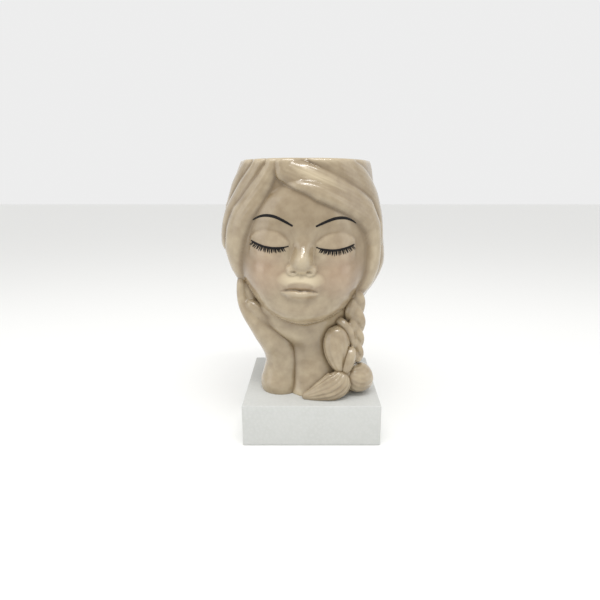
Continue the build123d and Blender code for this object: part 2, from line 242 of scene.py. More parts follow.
def newMaterial(name):
    material = bpy.data.materials.new(name)
    material.use_nodes = True
    material.node_tree.nodes.clear()
    return material, material.node_tree


def finishMaterial(tree, shader):
    addNode(tree, "ShaderNodeOutputMaterial", links={"Surface": shader.outputs["BSDF"]})


glazeLook = {
    "body": "#97866C",        # beige earthenware seen through a clear glaze
    "pooledAndShaded": "#746042",      # thicker, browner glaze in the hollows, and the painted shade there, under the chin and on the hair
    "blush": "#A88770",       # faint warm tint on cheeks and lids
    "thinGlazeAndHighlight": "#CEBFA1",        # paler where the glaze runs thin on ridges, and the painted highlights
    "mottlePatch": 9.0,       # mm, clouds in the fired colour
    "orangePeel": 1.6,        # mm, drawn a little coarse so that it shows
    "waviness": 14.0,         # mm, slow waves of a hand-dipped glaze
    "cloudShare": 0.35, "ridgeShare": 0.7, "poolAndShadeShare": 0.85,
    "roughness": 0.2, "coat": 0.6, "coatRoughness": 0.09,
}


def glazedEarthenware(look):
    # slip-cast earthenware dipped in a clear gloss glaze: soft colour under a sharp wet shine
    material, tree = newMaterial("glazedEarthenware")
    place = addNode(tree, "ShaderNodeTexCoord").outputs["Object"]
    poolAndShade = addNode(tree, "ShaderNodeAttribute", {"attribute_name": "poolAndShade"}).outputs["Fac"]
    blush = addNode(tree, "ShaderNodeAttribute", {"attribute_name": "blush"}).outputs["Fac"]
    clouds = addNode(tree, "ShaderNodeTexNoise",
                     {"Scale": 1 / (look["mottlePatch"] * metre), "Detail": 3.0},
                     {"Vector": place})
    cloudMix = addNode(tree, "ShaderNodeMapRange",
                       {"From Min": 0.3, "From Max": 0.7, "To Min": 0.0, "To Max": look["cloudShare"]},
                       {"Value": clouds.outputs["Fac"]})
    base = addNode(tree, "ShaderNodeMix",
                   {"data_type": "RGBA", 6: toLinear(look["body"]), 7: toLinear(look["thinGlazeAndHighlight"])},
                   {"Factor": cloudMix.outputs["Result"]})
    tinted = addNode(tree, "ShaderNodeMix", {"data_type": "RGBA", 7: toLinear(look["blush"])},
                     {"Factor": blush, 6: base.outputs[2]})
    # paler on ridges: partly thin glaze, partly painted highlight
    ridge = addNode(tree, "ShaderNodeMapRange",
                    {"From Min": 0.0, "From Max": -1.0, "To Min": 0.0, "To Max": look["ridgeShare"]},
                    {"Value": poolAndShade})
    # the ridge layer is painted highlight: on the pad above the lip, the nose, the lower lip and a streak on
    # the fringe
    highlightLayer = addNode(tree, "ShaderNodeAttribute", {"attribute_name": "ridge"}).outputs["Fac"]
    paleRidgesAndHighlights = addNode(tree, "ShaderNodeMath", {"operation": "MAXIMUM"}, {0: ridge.outputs["Result"], 1: highlightLayer})
    thinnedAndHighlit = addNode(tree, "ShaderNodeMix", {"data_type": "RGBA", 7: toLinear(look["thinGlazeAndHighlight"])},
                      {"Factor": paleRidgesAndHighlights.outputs["Value"], 6: tinted.outputs[2]})
    # the pool layer darkens with painted shade as well as with pooled glaze
    deep = addNode(tree, "ShaderNodeMapRange",
                   {"From Min": 0.0, "From Max": 1.0, "To Min": 0.0, "To Max": look["poolAndShadeShare"]},
                   {"Value": poolAndShade})
    pooledAndShaded = addNode(tree, "ShaderNodeMix", {"data_type": "RGBA", 7: toLinear(look["pooledAndShaded"])},
                     {"Factor": deep.outputs["Result"], 6: thinnedAndHighlit.outputs[2]})
    peel = addNode(tree, "ShaderNodeTexNoise", {"Scale": 1 / (look["orangePeel"] * metre), "Detail": 2.0},
                   {"Vector": place})
    waves = addNode(tree, "ShaderNodeTexNoise", {"Scale": 1 / (look["waviness"] * metre), "Detail": 1.0},
                    {"Vector": place})
    waved = addNode(tree, "ShaderNodeBump",
                    {"Strength": 0.25, "Distance": 0.0006}, {"Height": waves.outputs["Fac"]})
    peeled = addNode(tree, "ShaderNodeBump", {"Strength": 0.12, "Distance": 0.0001},
                     {"Height": peel.outputs["Fac"], "Normal": waved.outputs["Normal"]})
    gloss = addNode(tree, "ShaderNodeMapRange",
                    {"To Min": look["roughness"] * 0.7, "To Max": look["roughness"] * 1.5},
                    {"Value": clouds.outputs["Fac"]})
    shader = addNode(tree, "ShaderNodeBsdfPrincipled",
                     {"IOR": 1.5, "Coat Weight": look["coat"], "Coat Roughness": look["coatRoughness"]},
                     {"Base Color": pooledAndShaded.outputs[2], "Roughness": gloss.outputs["Result"],
                      "Normal": peeled.outputs["Normal"]})
    finishMaterial(tree, shader)
    return material


enamelLook = {"ink": "#0B0908", "worn": "#1E1815", "brushMark": 1.5, "roughness": 0.5}


def overglazeEnamel(look):
    # black overglaze enamel laid with a fine brush: slightly raised, a little uneven
    material, tree = newMaterial("blackOverglazeEnamel")
    place = addNode(tree, "ShaderNodeTexCoord").outputs["Object"]
    marks = addNode(tree, "ShaderNodeTexNoise", {"Scale": 1 / (look["brushMark"] * metre), "Detail": 3.0},
                    {"Vector": place})
    uneven = addNode(tree, "ShaderNodeMapRange",
                     {"From Min": 0.45, "From Max": 0.75, "To Min": 0.0, "To Max": 0.5},
                     {"Value": marks.outputs["Fac"]})
    ink = addNode(tree, "ShaderNodeMix",
                  {"data_type": "RGBA", 6: toLinear(look["ink"]), 7: toLinear(look["worn"])},
                  {"Factor": uneven.outputs["Result"]})
    raised = addNode(tree, "ShaderNodeBump",
                     {"Strength": 0.2, "Distance": 0.0002}, {"Height": marks.outputs["Fac"]})
    shader = addNode(tree, "ShaderNodeBsdfPrincipled",
                     {"IOR": 1.45, "Specular IOR Level": 0.25, "Roughness": look["roughness"]},
                     {"Base Color": ink.outputs[2], "Normal": raised.outputs["Normal"]})
    finishMaterial(tree, shader)
    return material


plasterLook = {"white": "#CBCCC9", "shade": "#BEC0BB", "bead": 2.6, "grit": 0.7, "roughness": 0.8}


def paintedPlaster(look):
    # cast block under matt white paint: small rounded grains telegraph through it
    material, tree = newMaterial("whitePaintedPlaster")
    place = addNode(tree, "ShaderNodeTexCoord").outputs["Object"]
    beads = addNode(tree, "ShaderNodeTexVoronoi", {"Scale": 1 / (look["bead"] * metre)}, {"Vector": place})
    grit = addNode(tree, "ShaderNodeTexNoise", {"Scale": 1 / (look["grit"] * metre), "Detail": 4.0},
                   {"Vector": place})
    patches = addNode(tree, "ShaderNodeTexNoise", {"Scale": 1 / (7 * look["bead"] * metre), "Detail": 3.0},
                      {"Vector": place})
    beadShade = addNode(tree, "ShaderNodeMapRange",
                        {"From Min": 0.15, "From Max": 0.75, "To Min": 0.0, "To Max": 0.6},
                        {"Value": beads.outputs["Distance"]})
    patchShade = addNode(tree, "ShaderNodeMath", {"operation": "MULTIPLY"},
                         {0: beadShade.outputs["Result"], 1: patches.outputs["Fac"]})
    colour = addNode(tree, "ShaderNodeMix",
                     {"data_type": "RGBA", 6: toLinear(look["white"]), 7: toLinear(look["shade"])},
                     {"Factor": patchShade.outputs["Value"]})
    beadBump = addNode(tree, "ShaderNodeBump", {"Strength": 0.3, "Distance": 0.0002, "invert": True},
                       {"Height": beads.outputs["Distance"]})
    gritBump = addNode(tree, "ShaderNodeBump", {"Strength": 0.25, "Distance": 0.0001},
                       {"Height": grit.outputs["Fac"], "Normal": beadBump.outputs["Normal"]})
    shader = addNode(tree, "ShaderNodeBsdfPrincipled", {"IOR": 1.5, "Roughness": look["roughness"]},
                     {"Base Color": colour.outputs[2], "Normal": gritBump.outputs["Normal"]})
    finishMaterial(tree, shader)
    return material


rubberLook = {"black": "#1D1D1E", "dusty": "#3B3A38", "grain": 0.8, "roughness": 0.62}


def mouldedRubber(look):
    # moulded black rubber: matt, with a fine grain and a little dust
    material, tree = newMaterial("mouldedBlackRubber")
    place = addNode(tree, "ShaderNodeTexCoord").outputs["Object"]
    grain = addNode(tree, "ShaderNodeTexNoise", {"Scale": 1 / (look["grain"] * metre), "Detail": 4.0},
                    {"Vector": place})
    dust = addNode(tree, "ShaderNodeMapRange",
                   {"From Min": 0.5, "From Max": 0.8, "To Min": 0.0, "To Max": 0.6},
                   {"Value": grain.outputs["Fac"]})
    colour = addNode(tree, "ShaderNodeMix",
                     {"data_type": "RGBA", 6: toLinear(look["black"]), 7: toLinear(look["dusty"])},
                     {"Factor": dust.outputs["Result"]})
    bump = addNode(tree, "ShaderNodeBump",
                   {"Strength": 0.3, "Distance": 0.0001}, {"Height": grain.outputs["Fac"]})
    shader = addNode(tree, "ShaderNodeBsdfPrincipled", {"IOR": 1.5, "Roughness": look["roughness"]},
                     {"Base Color": colour.outputs[2], "Normal": bump.outputs["Normal"]})
    finishMaterial(tree, shader)
    return material


glaze = glazedEarthenware(glazeLook)
enamel = overglazeEnamel(enamelLook)
plaster = paintedPlaster(plasterLook)
rubber = mouldedRubber(rubberLook)
print("stage 2: materials made")


# The head: one spun skin from the foot over the face and rim and down the hollow inside

head = {
    "foot": 37.0, "tall": 205.0, "hairWide": 144.0, "hairDeep": 108.0, "axisAcross": -7.0,
    "faceWide": 110.0, "faceDeep": 45.0, "faceFore": -12.0, "hairlineSoft": 2.0, "flareSoft": 1.0,
    "slimSide": (-1.35, 0.915, 0.8, 0.11, 2.6),  # the crown narrows here: angle, height share, spreads, depth
    "wall": 6.5, "floor": 7.0, "rimRound": 2.2, "rimCurve": (3.2, 2.2), "footMargin": 9.0, "footRecess": 2.0,
    "footRound": 0.6, "footRoundHigh": 2.0, "drain": 5.0,
    "steps": 320, "crowding": 0.55, "finePitch": 0.85, "neckPitch": 2.5, "insidePitch": 4.0, "fineFrom": 62.0,
    "footRings": 8, "rimRings": 12, "holeRings": 4, "lowestRow": 0.006,
}

# Level sections: height, across, fore, width and depth, as shares of the head's sizes
bodySections = (
    (0.000, 0.104, -0.056, 0.500, 0.722), (0.063, 0.094, -0.037, 0.465, 0.667),
    (0.137, 0.068, -0.019, 0.440, 0.620), (0.210, 0.042, 0.000, 0.431, 0.611),
    (0.283, 0.050, 0.009, 0.485, 0.648), (0.337, 0.052, 0.028, 0.556, 0.722),
    (0.395, 0.030, 0.046, 0.667, 0.833), (0.463, 0.014, 0.056, 0.833, 0.926),
    (0.551, 0.007, 0.056, 0.958, 0.981), (0.649, -0.009, 0.056, 1.000, 1.000),
    (0.746, -0.010, 0.056, 0.979, 1.000), (0.834, -0.007, 0.051, 0.917, 0.981),
    (0.917, -0.007, 0.042, 0.854, 0.963), (0.971, 0.003, 0.037, 0.806, 0.944),
    (1.000, 0.009, 0.032, 0.771, 0.926),
)
faceSections = (
    (0.311, 0.10, 0.45), (0.323, 0.24, 0.58), (0.342, 0.44, 0.78), (0.367, 0.61, 0.90),
    (0.390, 0.72, 0.94), (0.422, 0.81, 0.96), (0.455, 0.88, 0.98), (0.502, 0.95, 1.00),
    (0.551, 0.98, 1.00), (0.610, 1.00, 0.98), (0.678, 0.99, 0.96), (0.746, 0.95, 1.01),
    (0.810, 0.86, 1.01), (0.863, 0.69, 0.96), (0.902, 0.47, 0.87), (0.930, 0.20, 0.70),
)

# The heel of the hand flares out of the neck under the jaw: height in mm, centre across and fore, half sizes
flareSections = (
    (78.0, -3.0, -2.0, 24.0, 29.0), (85.0, -6.0, -3.0, 27.0, 31.0), (92.0, -12.0, -5.0, 31.0, 31.5),
    (98.0, -17.0, -6.0, 34.0, 31.5), (104.0, -21.0, -7.0, 36.0, 31.0), (110.0, -24.0, -8.0, 36.0, 30.0),
    (115.0, -26.0, -9.0, 34.5, 29.5), (119.0, -27.0, -9.0, 31.5, 27.5), (123.0, -25.0, -8.0, 25.0, 22.0),
)

# Rolls of hair: across and height of each place, width and rise in millimetres
hairRolls = {
    "rightFringe": ((-0.110, 1.020, 17, 4.0), (-0.090, 0.955, 20, 5.5), (0.000, 0.926, 25, 6.0),
                    (0.104, 0.893, 28, 6.5), (0.194, 0.863, 28, 6.5), (0.278, 0.834, 27, 6.5),
                    (0.354, 0.795, 27, 6.5), (0.403, 0.737, 23, 6.0), (0.424, 0.659, 19, 5.5),
                    (0.418, 0.561, 18, 5.0), (0.380, 0.480, 17, 4.6), (0.325, 0.432, 14, 3.6)),
    "leftFringe": ((-0.165, 1.020, 11, 3.5), (-0.172, 0.965, 13, 4.6), (-0.229, 0.902, 19, 5.6),
                   (-0.288, 0.844, 24, 6.2), (-0.347, 0.785, 26, 6.2), (-0.392, 0.717, 25, 6.0),
                   (-0.414, 0.629, 22, 5.4), (-0.408, 0.551, 19, 3.5), (-0.375, 0.490, 12, 2.0)),
    "leftSecond": ((-0.215, 1.020, 12, 3.0), (-0.280, 0.945, 18, 4.4), (-0.352, 0.880, 21, 5.0),
                   (-0.412, 0.820, 22, 4.6), (-0.458, 0.752, 20, 3.6), (-0.490, 0.66, 16, 2.4)),
    "leftThird": ((-0.290, 1.020, 14, 2.6), (-0.365, 0.955, 18, 3.4), (-0.432, 0.893, 20, 3.4),
                  (-0.480, 0.835, 18, 2.6)),
    "rightCrown": ((0.060, 1.020, 16, 2.4), (0.200, 0.965, 22, 3.4), (0.330, 0.915, 25, 3.8),
                   (0.425, 0.855, 25, 3.6), (0.476, 0.775, 22, 3.0), (0.490, 0.66, 18, 2.0)),
}
# Rolls behind, drawn together towards the plait: turn in degrees from the face, height, width and rise
gatheredRolls = (
    ((112, 0.86, 16, 0.6), (106, 0.76, 24, 2.2), (98, 0.66, 26, 3.0), (88, 0.56, 25, 3.4),
     (76, 0.47, 20, 3.2), (64, 0.41, 14, 2.4)),
    ((158, 0.84, 16, 0.4), (148, 0.72, 26, 2.0), (136, 0.61, 28, 3.0), (120, 0.51, 27, 3.4),
     (100, 0.44, 23, 3.2), (80, 0.395, 17, 2.6), (66, 0.38, 12, 2.0)),
    ((204, 0.76, 16, 0.4), (192, 0.64, 26, 1.8), (176, 0.53, 28, 2.8), (154, 0.445, 27, 3.2),
     (128, 0.39, 24, 3.0), (102, 0.365, 18, 2.4), (80, 0.35, 12, 1.6)),
    ((244, 0.60, 16, 0.4), (228, 0.51, 24, 1.6), (206, 0.43, 26, 2.4), (178, 0.375, 25, 2.8),
     (150, 0.34, 21, 2.4), (122, 0.325, 15, 1.4)),
)
backLocks = {
    "count": 12, "rise": 1.9, "lean": 1.2, "from": 0.62, "fadeHigh": 0.2, "behind": 1.35, "fadeRound": 0.3,
    "combs": 8, "combDeep": 0.12, "fullness": 0.6, "leanCurve": 1.3,
}
combing = {"pitch": 3.4, "deep": 0.11}
rollFullness = {"front": 0.62, "gathered": 0.7}  # the lower, the squarer a roll's section


def reach(angle, centreX, centreY, halfWide, halfDeep):
    # how far a level ray from the head's axis goes before it leaves an ellipse
    rayX, rayY = np.sin(angle) / halfWide, -np.cos(angle) / halfDeep
    startX, startY = (head["axisAcross"] - centreX) / halfWide, -centreY / halfDeep
    a = rayX**2 + rayY**2
    b = rayX * startX + rayY * startY
    c = startX**2 + startY**2 - 1
    return (-b + np.sqrt(np.maximum(b**2 - a * c, 0))) / a


def hairRadius(angle, height, inset=0.0):
    across, fore, wide, deep = smoothRows(bodySections, height)
    return reach(angle, head["axisAcross"] + across * head["hairWide"], fore * head["hairDeep"],
                 wide * head["hairWide"] / 2 - inset, deep * head["hairDeep"] / 2 - inset)


def softMax(one, other, softness):
    return (one + other + np.sqrt((one - other) ** 2 + softness**2)) / 2


def plainRadius(angle, height):
    # the neck, the hair and the face as one smooth skin
    hair = hairRadius(angle, height)
    up = head["foot"] + height * head["tall"]
    centreX, centreY, halfWide, halfDeep = smoothRows(flareSections, up)
    flare = reach(angle, centreX, centreY, halfWide, halfDeep)
    inFlare = (up > flareSections[0][0]) & (up < flareSections[-1][0])
    hair = np.where(inFlare, softMax(hair, flare, head["flareSoft"]), hair)
    wide, deep = smoothRows(faceSections, height)
    front = reach(angle, head["axisAcross"], head["faceFore"],
                  wide * head["faceWide"] / 2, deep * head["faceDeep"])
    both = softMax(hair, front, head["hairlineSoft"])
    inFace = (height > faceSections[0][0]) & (height < faceSections[-1][0]) & (np.cos(angle) > 0)
    return np.where(inFace, both, hair)


def skinPoint(angle, height, radius):
    return np.stack([head["axisAcross"] + radius * np.sin(angle), -radius * np.cos(angle),
                     head["foot"] + height * head["tall"]], axis=-1)


def frontPoint(across, height):
    # the place on the front of the plain skin that lies this far across
    low, high = -math.pi / 2, math.pi / 2
    level = np.array([min(height, 1.0)])
    for _ in range(24):
        angle = np.array([(low + high) / 2])
        radius = plainRadius(angle, level)
        if radius[0] * math.sin(angle[0]) < across * head["hairWide"]:
            low = angle[0]
        else:
            high = angle[0]
    return skinPoint(angle, np.array([height]), radius)[0]


def rollRise(points, path, fullness):
    # the rise of a rounded roll that follows a path over the skin, with fine combed lines along it
    best = np.zeros(len(points))
    for (start, wideA, riseA), (end, wideB, riseB) in zip(path, path[1:]):
        run = end - start
        t = np.clip((points - start) @ run / (run @ run), 0, 1)
        half = (wideA + (wideB - wideA) * t) / 2
        away = np.linalg.norm(points - start - t[:, None] * run, axis=1) / half
        within = np.maximum(1 - away**2, 0)
        rise = (riseA + (riseB - riseA) * t) * within**fullness
        rise += combing["deep"] * np.cos(2 * np.pi * away * half / combing["pitch"]) * within
        best = np.maximum(best, rise)
    return best


def hairRise(angle, height, points):
    # every roll, then plainer locks round the back that lean towards the plait
    rise = np.zeros(len(points))
    for stations in hairRolls.values():
        path = [(frontPoint(across, level), wide, lift) for across, level, wide, lift in stations]
        rise = np.maximum(rise, rollRise(points, path, rollFullness["front"]))
    for stations in gatheredRolls:
        turns = np.radians([station[0] for station in stations])
        levels = np.array([station[1] for station in stations])
        spots = skinPoint(turns, levels, plainRadius(turns, levels))
        path = [(spot, wide, lift) for spot, (_, _, wide, lift) in zip(spots, stations)]
        rise = np.maximum(rise, rollRise(points, path, rollFullness["gathered"]))
    lean = backLocks["lean"] * (1 - height) ** backLocks["leanCurve"]
    turn = backLocks["count"] * (angle + lean) / 2
    locks = backLocks["rise"] * np.abs(np.cos(turn)) ** backLocks["fullness"]
    locks += backLocks["combDeep"] * np.cos(turn * backLocks["combs"])
    behind = ease((np.abs(angle) - backLocks["behind"]) / backLocks["fadeRound"])
    band = ease((height - backLocks["from"]) / backLocks["fadeHigh"])
    return np.maximum(rise, locks * behind * band)


# The face is modelled on its own level, u across and v up in millimetres from its centre

face = {
    "acrossAt": -7.3, "upAt": 160.0, "axisRoll": 3.4, "levelRoll": 2.2, "rightEyeIn": 1.9, "reach": 54.0,
    "socket": (30.0, 19.0, 21.5, 17.0, -2.8), "eyeAt": 28.3, "eyeHalf": 17.0, "lidRise": 4.6,
    "lidFullAt": 0.4, "lidEdgeDrop": 0.22, "lidLeast": 0.6,
    "lash": (11.2, 1.2, 3.6), "crease": (26.4, 1.4, 8.8), "creaseSink": -0.6, "creaseHalf": 0.8,
    "foldRise": 1.0, "foldFade": 12.0, "lowerLidShare": 0.84, "lowerLidFade": 17.0,
    "cheek": (32.0, -12.0, 24.0, 22.0, 2.6), "chin": (0.5, -41.0, 21.0, 13.0, 1.6),
    "muzzle": (-0.6, -17.0, 20.5, 13.5, 5.2), "philtrum": (-0.6, -12.0, 2.6, 5.0, -0.5),
    "noseShift": (-0.7, 1.0), "noseLong": 14.0, "wing": (7.2, -6.2, 5.6, 4.7, 4.1),
    "nostril": (5.9, -8.0, 2.8, 1.5, -2.4), "noseSoft": 1.0,
}
# The lips' levels at the middle, how far their ends drop, and the bow's dip
lips = {
    "across": -0.9, "half": 16.4, "upperHalf": 14.5, "line": -21.9, "lineDrop": 2.4, "lineDip": 0.5,
    "top": -15.0, "topDrop": 5.0, "topDip": 0.9, "bottom": -32.0, "bottomDrop": -6.0,
    "lineDipHalf": 2.6, "topDipHalf": 2.0, "least": 0.4,
    "upperSink": -2.6, "lowerRise": 2.3, "partingSink": -0.8, "partingHalf": 0.7,
}

# The nose from the brow down: v, half width and rise
noseRidge = ((-12.0, 5.0, 0.0), (-9.6, 6.4, 0.5), (-8.2, 8.6, 3.0), (-6.6, 10.0, 5.4), (-4.0, 10.6, 8.0),
             (-0.5, 10.4, 10.2), (3.2, 9.6, 10.8), (7.0, 8.6, 8.8), (13.0, 8.2, 4.6), (19.0, 9.5, 2.3),
             (26.0, 12.5, 1.1), (33.0, 16.0, 0.5), (40.0, 18.0, 0.0))


def toFace(x, z):
    # the face's upright leans a little more than its level lines
    axis, level = math.radians(face["axisRoll"]), math.radians(face["levelRoll"])
    across, up = x - face["acrossAt"], z - face["upAt"]
    return across * math.cos(axis) - up * math.sin(axis), across * math.sin(level) + up * math.cos(level)


def fromFace(u, v):
    axis, level = math.radians(face["axisRoll"]), math.radians(face["levelRoll"])
    turned = math.cos(axis - level)
    return (face["acrossAt"] + (u * math.cos(level) + v * math.sin(axis)) / turned,
            face["upAt"] + (v * math.cos(axis) - u * math.sin(level)) / turned)


def dome(u, v, shape, power=2.0):
    centreU, centreV, halfU, halfV, rise = shape
    away = ((u - centreU) / halfU) ** 2 + ((v - centreV) / halfV) ** 2
    return rise * np.maximum(1 - away, 0) ** power


def lashLevel(s):
    low, tilt, curve = face["lash"]
    return low + tilt * s + curve * s**2


def eyeSide(u):
    return np.abs(u) + np.where(u > 0, face["rightEyeIn"], 0)


def lidRise(u, v):
    # a closed lid: its edge lies on the lower lid, its top tucks under the fold of the brow
    s = (eyeSide(u) - face["eyeAt"]) / face["eyeHalf"]
    inside = np.abs(s) < 1
    lash = lashLevel(s)
    top, tilt, curve = face["crease"]
    crease = np.maximum(top + tilt * s - curve * np.abs(s) ** 2.4, lash + face["lidLeast"])
    across = np.maximum(1 - np.abs(s) ** 2.6, 0) ** 0.7
    t = (v - lash) / (crease - lash)
    full, up = face["lidFullAt"], np.clip(t, 0, 1)
    underFull = 1 - face["lidEdgeDrop"] * ((full - up) / full) ** 2
    overFull = np.maximum(1 - (np.maximum(up - full, 0) / (1 - full)) ** 2.2, 0) ** 0.7
    upper = np.where(t < full, underFull, overFull)
    lower = face["lowerLidShare"] * (1 - ease((lash - v) / face["lowerLidFade"]))
    fold = face["foldRise"] * ease((t - 1) / 0.08) * (1 - ease((v - crease) / face["foldFade"])) * across
    groove = face["creaseSink"] * np.exp(-(((v - crease) / face["creaseHalf"]) ** 2))
    groove = groove * np.minimum(across * 2, 1)
    lid = np.where(t >= 0, upper * (t <= 1), lower) * face["lidRise"] * across
    return np.where(inside, lid + fold * (t > 1) + groove, 0.0)


def lipRise(u, v):
    # the upper lip slopes in from the pad above it to the parting, and the lower lip rounds out below
    u = u - lips["across"]
    m = np.minimum(np.abs(u) / lips["half"], 1)
    lineDip = lips["lineDip"] * np.exp(-((u / lips["lineDipHalf"]) ** 2))
    topDip = lips["topDip"] * np.exp(-((u / lips["topDipHalf"]) ** 2))
    line = lips["line"] - lips["lineDrop"] * m**2 - lineDip
    top = lips["top"] - topDip - lips["topDrop"] * m**2
    bottom = lips["bottom"] - lips["bottomDrop"] * m**2
    ends = np.maximum(1 - m**2, 0) ** 0.6
    tUpper = np.clip((v - line) / np.maximum(top - line, lips["least"]), 0, 1)
    tLower = np.clip((line - v) / np.maximum(line - bottom, lips["least"]), 0, 1)
    width = np.maximum(1 - (np.abs(u) / lips["upperHalf"]) ** 2.5, 0)
    sink = lips["upperSink"] * width * np.where(v >= line, (1 - tUpper) ** 1.1, np.exp(v - line))
    rounded = 3.3 * tLower**0.6 * (1 - tLower) ** 1.3  # about 1 where it is fullest, a third of the way down
    lower = lips["lowerRise"] * ends * rounded
    parting = lips["partingSink"] * ends * np.exp(-(((v - line) / lips["partingHalf"]) ** 2))
    return sink + lower + parting


def noseRise(u, v):
    shiftU, shiftV = face["noseShift"]
    u, v = u - shiftU * ease((face["noseLong"] - v) / face["noseLong"]), v - shiftV
    side = np.abs(u)
    halfWide, lift = smoothRows(noseRidge, v)
    ridge = lift * np.maximum(1 - (u / halfWide) ** 2, 0) ** 1.7
    wings = dome(side, v, face["wing"], 0.8)
    # where both are flat, softMax adds half its softness, which is taken off again
    soft = face["noseSoft"]
    nose = softMax(ridge, wings, soft) - soft / 2 * np.exp(-np.maximum(ridge, wings) / (soft / 2))
    inNose = (v > noseRidge[0][0]) & (v < noseRidge[-1][0])
    return np.where(inNose, nose, 0) + dome(side, v, face["nostril"], 1.0)


def faceRise(u, v):
    side = np.abs(u)
    rise = dome(eyeSide(u), v, face["socket"]) + lidRise(u, v) + noseRise(u, v)
    rise += dome(side, v, face["cheek"]) + dome(u, v, face["muzzle"], 1.5) + dome(u, v, face["philtrum"])
    return rise + dome(u, v, face["chin"]) + lipRise(u, v)


def modelledRadius(angle, height):
    radius = plainRadius(angle, height)
    points = skinPoint(angle, height, radius)
    u, v = toFace(points[:, 0], points[:, 2])
    front = (np.cos(angle) > 0) & (height > faceSections[0][0]) & (height < faceSections[-1][0])
    features = np.where(front, faceRise(u, v), 0.0)
    hair = hairRise(angle, height, points) - dome(angle, height, head["slimSide"], 1.0)
    return radius + np.where(front & (np.abs(u) < face["reach"]), np.maximum(hair, features), hair)


def headRows():
    # what each row of the skin is: its kind and where it lies
    rimShare = head["rimRound"] / head["tall"]
    rows = [("recess", f) for f in np.linspace(0, 1, head["footRings"])]
    rows += [("foot", 0.0), ("foot", 0.5), ("foot", 1.0)]
    neckCount = int(head["fineFrom"] / head["neckPitch"])
    fineCount = int((head["tall"] - head["fineFrom"] - head["rimRound"]) / head["finePitch"])
    fineShare = head["fineFrom"] / head["tall"]
    rows += [("outer", h) for h in np.linspace(head["lowestRow"], fineShare, neckCount, endpoint=False)]
    rows += [("outer", h) for h in np.linspace(fineShare, 1 - rimShare, fineCount)]
    rows += [("rim", q) for q in np.linspace(0, 1, head["rimRings"])[1:-1]]
    insideCount = int(head["tall"] / head["insidePitch"])
    rows += [("inner", h) for h in np.linspace(1 - rimShare, head["floor"] / head["tall"], insideCount)]
    rows += [("floor", f) for f in np.linspace(0, 1, head["footRings"])[1:]]
    rows += [("hole", f) for f in np.linspace(0, 1, head["holeRings"])[1:-1]]
    return rows


def headPoints(rows, rowOf, spun):
    angle = spun - head["crowding"] * np.sin(spun)
    kinds = np.array([kind for kind, _ in rows])[rowOf]
    where = np.array([value for _, value in rows])[rowOf]
    points = np.zeros((len(rowOf), 3))
    aim = np.stack([np.sin(angle), -np.cos(angle)], axis=-1)
    drainAt = np.array([head["axisAcross"] + bodySections[0][1] * head["hairWide"],
                        bodySections[0][2] * head["hairDeep"]])

    def ringAt(mask, height, inset=None):
        level = np.full(mask.sum(), height)
        radius = plainRadius(angle[mask], level) if inset is None else hairRadius(angle[mask], level, inset)
        return np.array([head["axisAcross"], 0.0]) + radius[:, None] * aim[mask]

    mask = kinds == "outer"
    radius = modelledRadius(angle[mask], where[mask])
    radius -= head["footRound"] * (1 - ease(where[mask] * head["tall"] / head["footRoundHigh"]))
    points[mask] = skinPoint(angle[mask], where[mask], radius)

    mask = kinds == "rim"
    top = 1 - head["rimRound"] / head["tall"]
    level = np.full(mask.sum(), top)
    outerEdge = modelledRadius(angle[mask], level)
    innerEdge = hairRadius(angle[mask], level, head["wall"])
    q = where[mask]
    flatness, roundness = head["rimCurve"]
    lift = head["rimRound"] * (1 - np.abs(2 * q - 1) ** flatness) ** (1 / roundness)
    points[mask] = skinPoint(angle[mask], level, outerEdge + (innerEdge - outerEdge) * q)
    points[mask, 2] += lift

    mask = kinds == "inner"
    points[mask] = skinPoint(angle[mask], where[mask], hairRadius(angle[mask], where[mask], head["wall"]))

    for kind in ("floor", "recess", "foot"):
        mask = kinds == kind
        f = where[mask][:, None]
        holeEdge = drainAt + head["drain"] * aim[mask]
        footEdge = ringAt(mask, 0.0) - head["footRound"] * aim[mask]
        inward = footEdge - drainAt
        recessEdge = drainAt + inward * (1 - head["footMargin"] / np.linalg.norm(inward, axis=1))[:, None]
        if kind == "floor":
            wallFoot = ringAt(mask, head["floor"] / head["tall"], head["wall"])
            points[mask, :2] = wallFoot + (holeEdge - wallFoot) * f
            points[mask, 2] = head["foot"] + head["floor"]
        elif kind == "recess":
            points[mask, :2] = holeEdge + (recessEdge - holeEdge) * f
            points[mask, 2] = head["foot"] + head["footRecess"]
        else:
            points[mask, :2] = recessEdge + (footEdge - recessEdge) * f
            points[mask, 2] = head["foot"]

    mask = kinds == "hole"
    points[mask, :2] = drainAt + head["drain"] * aim[mask]
    points[mask, 2] = head["foot"] + head["floor"] - (head["floor"] - head["footRecess"]) * where[mask]
    return points, kinds


# Patches of tint, painted highlight and painted shade on the head: u, v, half sizes and strength, then where
# the painted shade of the hair and forehead starts and its fade
tints = {
    "cheekBlush": (33.0, -9.0, 26.0, 24.0, 0.4), "lidBlush": (28.0, 17.0, 20.0, 12.0, 0.1),
    "lipBlush": (0, -21.5, 17, 9, 0.25), "blushFrom": -15, "paleFrom": -12,
    "padHighlight": (-0.8, -13.5, 20.0, 8.5, 1.1), "upperLipShade": (-0.9, -18.4, 11.0, 4.4, 1.2),
    "noseHighlight": (0, 3, 7.5, 8.0, 0.5), "lowerLipHighlight": (-0.9, -24.6, 13.0, 3.4, 0.6),
    "streakAt": (9, 66.5), "streakTilt": -21.5, "highlightStreak": (0, 0, 26, 4.6, 0.85), "streakLines": (0.2, 3.2),
    "highlitCrown": (8, 69, 28, 9, 0.8), "aboveBrow": (12, 20), "besideFace": (35, 8), "aboveJaw": (100, 25),
    "hairShade": 0.5, "rollShade": 0.45,
}


